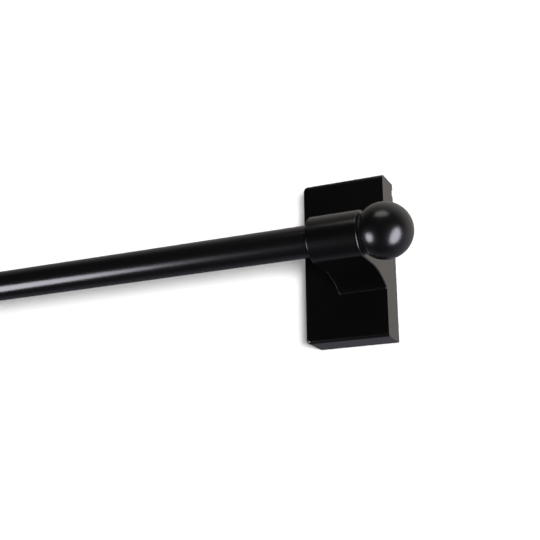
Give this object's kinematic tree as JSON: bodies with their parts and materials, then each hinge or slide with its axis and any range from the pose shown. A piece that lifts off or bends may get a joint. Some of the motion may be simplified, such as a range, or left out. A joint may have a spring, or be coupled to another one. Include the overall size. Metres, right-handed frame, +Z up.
{
  "type": "curtain rod with brackets",
  "caption": "Telescoping round curtain rod carried in swivelling magnetic wall brackets with curved arms, each end closed by a screw-on ball finial.",
  "frame": {"origin": "centre of the right bracket's back face, on the wall, with the rod's axis 52 mm in front of it", "axes": "+X along the rod to the right as seen from the room, +Y into the wall, +Z up"},
  "size_m": [0.5563, 0.0657, 0.085],
  "materials": {
    "bracket_plastic": "moulded black, semi-gloss",
    "cover_plastic": "moulded black, fine matt grain",
    "back_pad": "thin closed-cell foam rubber, black",
    "yoke_steel": "zinc-plated sheet steel",
    "ferrite": "sintered ferrite, dark grey",
    "screw_steel": "zinc-plated",
    "tube_enamel": "black baked enamel, semi-gloss",
    "ball_lacquer": "black gloss lacquer",
    "insert_brass": "plain turned brass",
    "stud_steel": "zinc-plated thread",
    "washer_nylon": "black nylon",
    "black_nylon": "black nylon",
    "plug_zinc": "die-cast, as cast"
  },
  "bodies": {
    "right_bracket": {"right_bracket_shell": "bracket_plastic", "right_back_cover": "cover_plastic", "right_back_pad": "back_pad", "right_yoke_plate": "yoke_steel", "right_magnets": "ferrite", "right_cover_screws": "screw_steel"},
    "outer_rod": {"outer_tube": "tube_enamel", "tube_mouth_bush": "black_nylon", "outer_tube_plug": "plug_zinc"},
    "inner_rod": {"inner_tube": "tube_enamel", "inner_tube_glide": "black_nylon", "collar_sleeve": "black_nylon", "inner_tube_plug": "plug_zinc"},
    "left_bracket": {"left_bracket_shell": "bracket_plastic", "left_back_cover": "cover_plastic", "left_back_pad": "back_pad", "left_yoke_plate": "yoke_steel", "left_magnets": "ferrite", "left_cover_screws": "screw_steel"},
    "right_finial_washer": {"right_finial_washer": "washer_nylon"},
    "right_finial": {"right_finial_ball": "ball_lacquer", "right_finial_insert": "insert_brass", "right_finial_stud": "stud_steel"},
    "left_finial_washer": {"left_finial_washer": "washer_nylon"},
    "left_finial": {"left_finial_ball": "ball_lacquer", "left_finial_insert": "insert_brass", "left_finial_stud": "stud_steel"}
  },
  "joints": [
    {"name": "right_swivel", "type": "hinge", "parent": "right_bracket", "child": "outer_rod", "pos_m": [0, -0.052, 0], "axis": [1, 0, 0], "continuous": true},
    {"name": "telescope", "type": "slide", "parent": "outer_rod", "child": "inner_rod", "axis": [-1, 0, 0], "range_m": [-0.1016, 0.2032]},
    {"name": "left_swivel", "type": "hinge", "parent": "inner_rod", "child": "left_bracket", "pos_m": [-0.464, -0.052, 0], "axis": [1, 0, 0], "continuous": true},
    {"name": "right_finial_travel", "type": "slide", "parent": "outer_rod", "child": "right_finial_washer", "axis": [1, 0, 0], "range_m": [0, 0.008]},
    {"name": "right_finial_turn", "type": "hinge", "parent": "right_finial_washer", "child": "right_finial", "pos_m": [0.0372, -0.052, 0], "axis": [1, 0, 0], "range_deg": [0, 2880]},
    {"name": "left_finial_travel", "type": "slide", "parent": "inner_rod", "child": "left_finial_washer", "axis": [-1, 0, 0], "range_m": [0, 0.008]},
    {"name": "left_finial_turn", "type": "hinge", "parent": "left_finial_washer", "child": "left_finial", "pos_m": [-0.5012, -0.052, 0], "axis": [-1, 0, 0], "range_deg": [0, 2880]}
  ],
  "couplings": [
    {"joint": "right_finial_turn", "follows": "right_finial_travel", "rad_per_m": 6283.2},
    {"joint": "left_finial_turn", "follows": "left_finial_travel", "rad_per_m": 6283.2}
  ]
}
